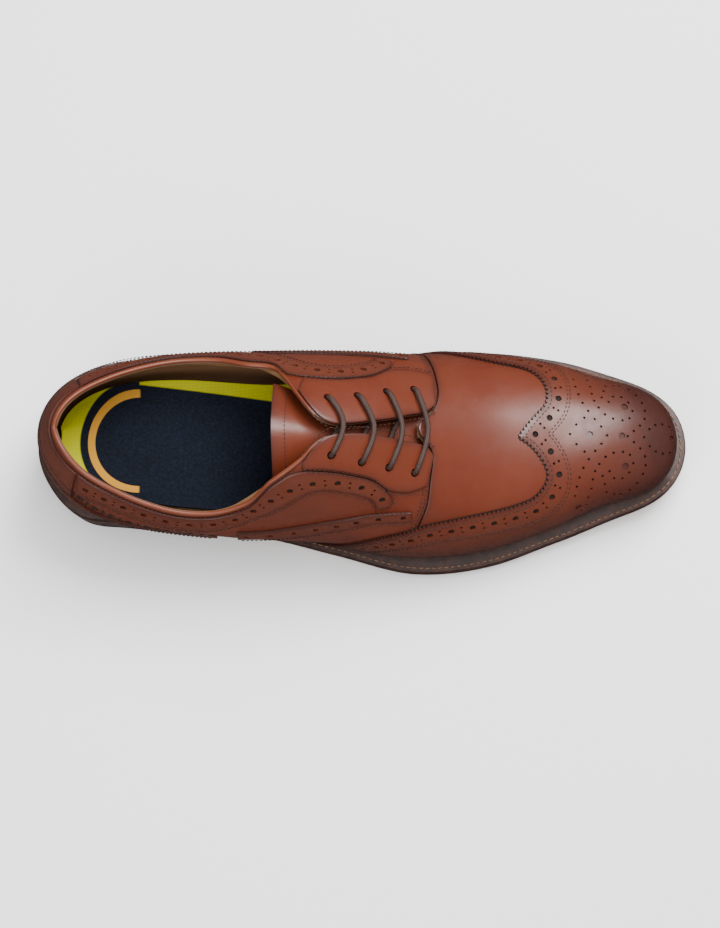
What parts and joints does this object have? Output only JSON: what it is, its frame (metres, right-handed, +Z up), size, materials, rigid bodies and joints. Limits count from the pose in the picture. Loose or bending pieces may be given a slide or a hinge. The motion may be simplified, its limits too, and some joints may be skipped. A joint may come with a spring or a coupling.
{
  "type": "derby shoe",
  "caption": "Right men's lace-up leather derby shoe with wingtip and brogue trim, a welted leather sole, a stacked heel and a hinged tongue.",
  "frame": {"origin": "on the ground, under the middle of the sole's length and width", "axes": "+X to the toe, +Z up, +Y to the inside of the foot, so -Y is the outside"},
  "size_m": [0.305, 0.1065, 0.1018],
  "materials": {
    "quarter_lining_outside": "natural calf lining",
    "quarter_lining_inside": "natural calf lining",
    "quarter_outside": "waxed cognac calf",
    "quarter_inside": "waxed cognac calf",
    "top_band_outside": "waxed cognac calf, brogued",
    "top_band_inside": "waxed cognac calf, brogued",
    "side_band_outside": "waxed cognac calf, brogued",
    "side_band_inside": "waxed cognac calf, brogued",
    "eyelet_tab_outside": "waxed cognac calf",
    "eyelet_tab_inside": "waxed cognac calf",
    "vamp_lining": "natural calf lining",
    "toe_puff": "stiffened canvas",
    "vamp": "waxed cognac calf",
    "wing_cap": "burnished cognac calf, brogued",
    "back_tab": "waxed cognac calf",
    "heel_foxing": "burnished cognac calf, brogued",
    "heel_counter": "stiffened leather board",
    "topline_binding": "tan calf, rolled",
    "tongue": "waxed cognac calf",
    "tongue_lining": "natural calf lining",
    "insole_board": "insole leather",
    "welt": "stained welting leather",
    "heel_rand": "stained leather",
    "outsole": "sole leather, stained edge",
    "top_piece": "heel rubber",
    "heel_lift_1": "stacked heel leather",
    "heel_lift_2": "stacked heel leather",
    "heel_lift_3": "stacked heel leather",
    "cork_filler": "cork",
    "shank": "spring steel",
    "footbed": "woven cover on foam, printed navy and gold",
    "eyelet_outside_1": "antique blind eyelet",
    "eyelet_outside_2": "antique blind eyelet",
    "eyelet_outside_3": "antique blind eyelet",
    "eyelet_outside_4": "antique blind eyelet",
    "eyelet_inside_1": "antique blind eyelet",
    "eyelet_inside_2": "antique blind eyelet",
    "eyelet_inside_3": "antique blind eyelet",
    "eyelet_inside_4": "antique blind eyelet",
    "lace": "waxed round cotton cord",
    "aglet_1": "film tip",
    "aglet_2": "film tip"
  },
  "bodies": {
    "shoe": {"quarter_lining_outside": "quarter_lining_outside", "quarter_lining_inside": "quarter_lining_inside", "quarter_outside": "quarter_outside", "quarter_inside": "quarter_inside", "top_band_outside": "top_band_outside", "top_band_inside": "top_band_inside", "side_band_outside": "side_band_outside", "side_band_inside": "side_band_inside", "eyelet_tab_outside": "eyelet_tab_outside", "eyelet_tab_inside": "eyelet_tab_inside", "vamp_lining": "vamp_lining", "toe_puff": "toe_puff", "vamp": "vamp", "wing_cap": "wing_cap", "back_tab": "back_tab", "heel_foxing": "heel_foxing", "heel_counter": "heel_counter", "topline_binding": "topline_binding", "insole_board": "insole_board", "welt": "welt", "heel_rand": "heel_rand", "outsole": "outsole", "top_piece": "top_piece", "heel_lift_1": "heel_lift_1", "heel_lift_2": "heel_lift_2", "heel_lift_3": "heel_lift_3", "cork_filler": "cork_filler", "shank": "shank", "footbed": "footbed", "eyelet_outside_1": "eyelet_outside_1", "eyelet_outside_2": "eyelet_outside_2", "eyelet_outside_3": "eyelet_outside_3", "eyelet_outside_4": "eyelet_outside_4", "eyelet_inside_1": "eyelet_inside_1", "eyelet_inside_2": "eyelet_inside_2", "eyelet_inside_3": "eyelet_inside_3", "eyelet_inside_4": "eyelet_inside_4", "lace": "lace", "aglet_1": "aglet_1", "aglet_2": "aglet_2"},
    "tongue": {"tongue": "tongue", "tongue_lining": "tongue_lining"}
  },
  "joints": [
    {"name": "tongue_hinge", "type": "hinge", "parent": "shoe", "child": "tongue", "pos_m": [0.04249, 0.00202, 0.06158], "axis": [0, -1, 0], "range_deg": [0, 10], "stiffness_Nm_per_rad": 0.05, "springref_deg": -20.05}
  ]
}
